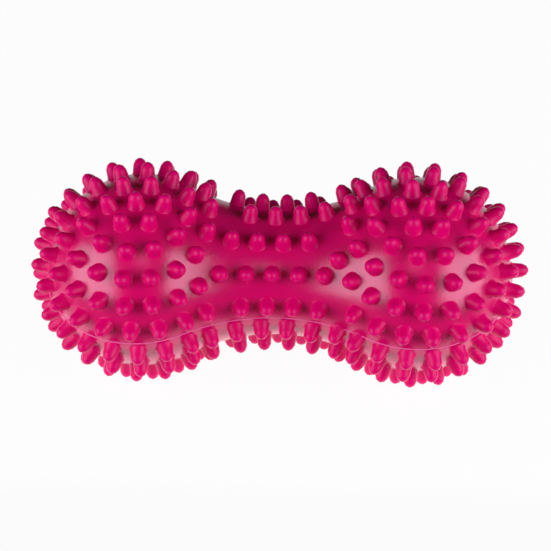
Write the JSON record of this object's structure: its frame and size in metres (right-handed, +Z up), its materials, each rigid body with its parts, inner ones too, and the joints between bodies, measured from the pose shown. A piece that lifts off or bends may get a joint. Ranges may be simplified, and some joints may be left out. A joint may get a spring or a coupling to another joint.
{
  "type": "peanut massage ball",
  "caption": "Peanut-shaped massage ball: two round lobes joined by a slimmer waist, covered all over with short round-tipped spikes that press on the muscles.",
  "frame": {"origin": "middle of the box round the ball, at the level it rests on", "axes": "+X along the long way, from one lobe to the other; +Z up with the ball lying on its spikes; the parting line's front side faces -Y"},
  "size_m": [0.1596, 0.0724, 0.0723],
  "materials": {
    "ball": "glossy soft vinyl, magenta pink"
  },
  "bodies": {
    "root": {"peanut_ball": "ball"}
  },
  "joints": []
}
